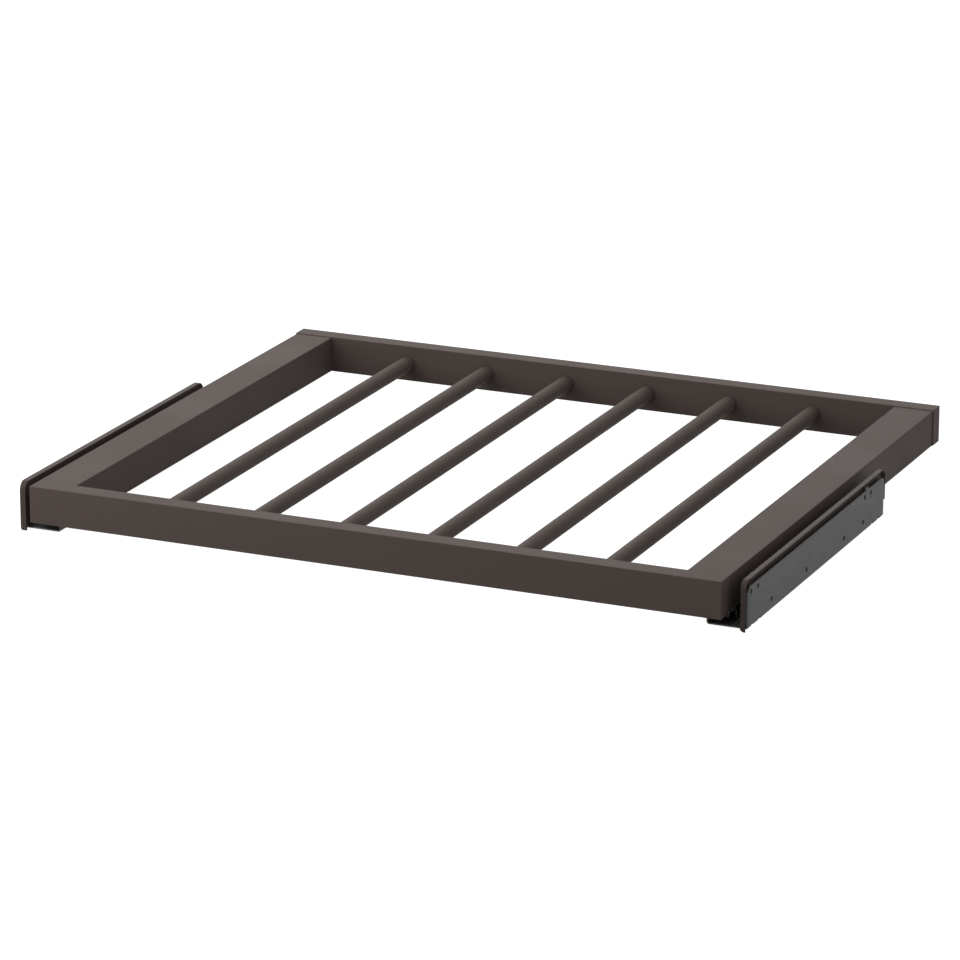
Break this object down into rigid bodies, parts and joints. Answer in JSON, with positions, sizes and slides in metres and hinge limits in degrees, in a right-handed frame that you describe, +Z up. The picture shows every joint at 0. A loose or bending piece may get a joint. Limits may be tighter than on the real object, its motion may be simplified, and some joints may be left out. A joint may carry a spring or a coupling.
{
  "type": "pull out trouser rack",
  "caption": "Pull out trouser rack for a wardrobe: a flat foil covered frame with round hanging rods, carried on full extension ball runners with wall brackets and covers.",
  "frame": {"origin": "bottom centre of the overall box: midway between the wall plates and between the front face and the back board's rear face, at the level of the runner covers' feet", "axes": "+X to the right across the rack, +Y to the rear of the wardrobe, +Z up; the rack pulls out along -Y"},
  "size_m": [0.713, 0.578, 0.0492],
  "materials": {
    "rail_foil": "fine grained brown grey foil on board, satin",
    "rod_lacquer": "brown grey powder coat, satin",
    "cover_plastic": "moulded, fine matt texture",
    "bracket_steel": "grey coated sheet, satin",
    "zinc_steel": "zinc plated, cold rolled",
    "ball_steel": "polished balls in a bright sheet cage",
    "beech": "bare turned beech",
    "buffer_rubber": "moulded, matt"
  },
  "bodies": {
    "runners": {"left_wall_bracket": "bracket_steel", "left_runner_cover": "cover_plastic", "left_cabinet_member": "zinc_steel", "left_rear_buffer": "buffer_rubber", "left_slide_rivet_1": "zinc_steel", "left_slide_rivet_2": "zinc_steel", "right_wall_bracket": "bracket_steel", "right_runner_cover": "cover_plastic", "right_cabinet_member": "zinc_steel", "right_rear_buffer": "buffer_rubber", "right_slide_rivet_1": "zinc_steel", "right_slide_rivet_2": "zinc_steel"},
    "tray": {"front_rail": "rail_foil", "left_side_rail": "rail_foil", "right_side_rail": "rail_foil", "back_board": "rail_foil", "trouser_rod_1": "rod_lacquer", "trouser_rod_2": "rod_lacquer", "trouser_rod_3": "rod_lacquer", "trouser_rod_4": "rod_lacquer", "trouser_rod_5": "rod_lacquer", "trouser_rod_6": "rod_lacquer", "left_corner_dowel_1": "beech", "left_corner_dowel_2": "beech", "right_corner_dowel_1": "beech", "right_corner_dowel_2": "beech", "left_frame_screw_1": "zinc_steel", "left_frame_screw_2": "zinc_steel", "right_frame_screw_1": "zinc_steel", "right_frame_screw_2": "zinc_steel", "left_drawer_member": "zinc_steel", "left_rail_screw_1": "zinc_steel", "left_rail_screw_2": "zinc_steel", "left_rail_screw_3": "zinc_steel", "right_drawer_member": "zinc_steel", "right_rail_screw_1": "zinc_steel", "right_rail_screw_2": "zinc_steel", "right_rail_screw_3": "zinc_steel"},
    "left_middle": {"left_middle_member": "zinc_steel"},
    "right_middle": {"right_middle_member": "zinc_steel"},
    "left_inner_cage": {"left_inner_ball_cage": "ball_steel"},
    "right_inner_cage": {"right_inner_ball_cage": "ball_steel"},
    "left_outer_cage": {"left_outer_ball_cage": "ball_steel"},
    "right_outer_cage": {"right_outer_ball_cage": "ball_steel"}
  },
  "joints": [
    {"name": "tray_slide", "type": "slide", "parent": "runners", "child": "tray", "axis": [0, -1, 0], "range_m": [0, 0.33]},
    {"name": "left_middle_slide", "type": "slide", "parent": "runners", "child": "left_middle", "axis": [0, -1, 0], "range_m": [0, 0.165]},
    {"name": "right_middle_slide", "type": "slide", "parent": "runners", "child": "right_middle", "axis": [0, -1, 0], "range_m": [0, 0.165]},
    {"name": "left_inner_cage_slide", "type": "slide", "parent": "runners", "child": "left_inner_cage", "axis": [0, -1, 0], "range_m": [0, 0.0825]},
    {"name": "right_inner_cage_slide", "type": "slide", "parent": "runners", "child": "right_inner_cage", "axis": [0, -1, 0], "range_m": [0, 0.0825]},
    {"name": "left_outer_cage_slide", "type": "slide", "parent": "runners", "child": "left_outer_cage", "axis": [0, -1, 0], "range_m": [0, 0.2475]},
    {"name": "right_outer_cage_slide", "type": "slide", "parent": "runners", "child": "right_outer_cage", "axis": [0, -1, 0], "range_m": [0, 0.2475]}
  ],
  "couplings": [
    {"joint": "left_middle_slide", "follows": "tray_slide", "ratio": 0.5},
    {"joint": "right_middle_slide", "follows": "tray_slide", "ratio": 0.5},
    {"joint": "left_inner_cage_slide", "follows": "tray_slide", "ratio": 0.25},
    {"joint": "right_inner_cage_slide", "follows": "tray_slide", "ratio": 0.25},
    {"joint": "left_outer_cage_slide", "follows": "tray_slide", "ratio": 0.75},
    {"joint": "right_outer_cage_slide", "follows": "tray_slide", "ratio": 0.75}
  ]
}
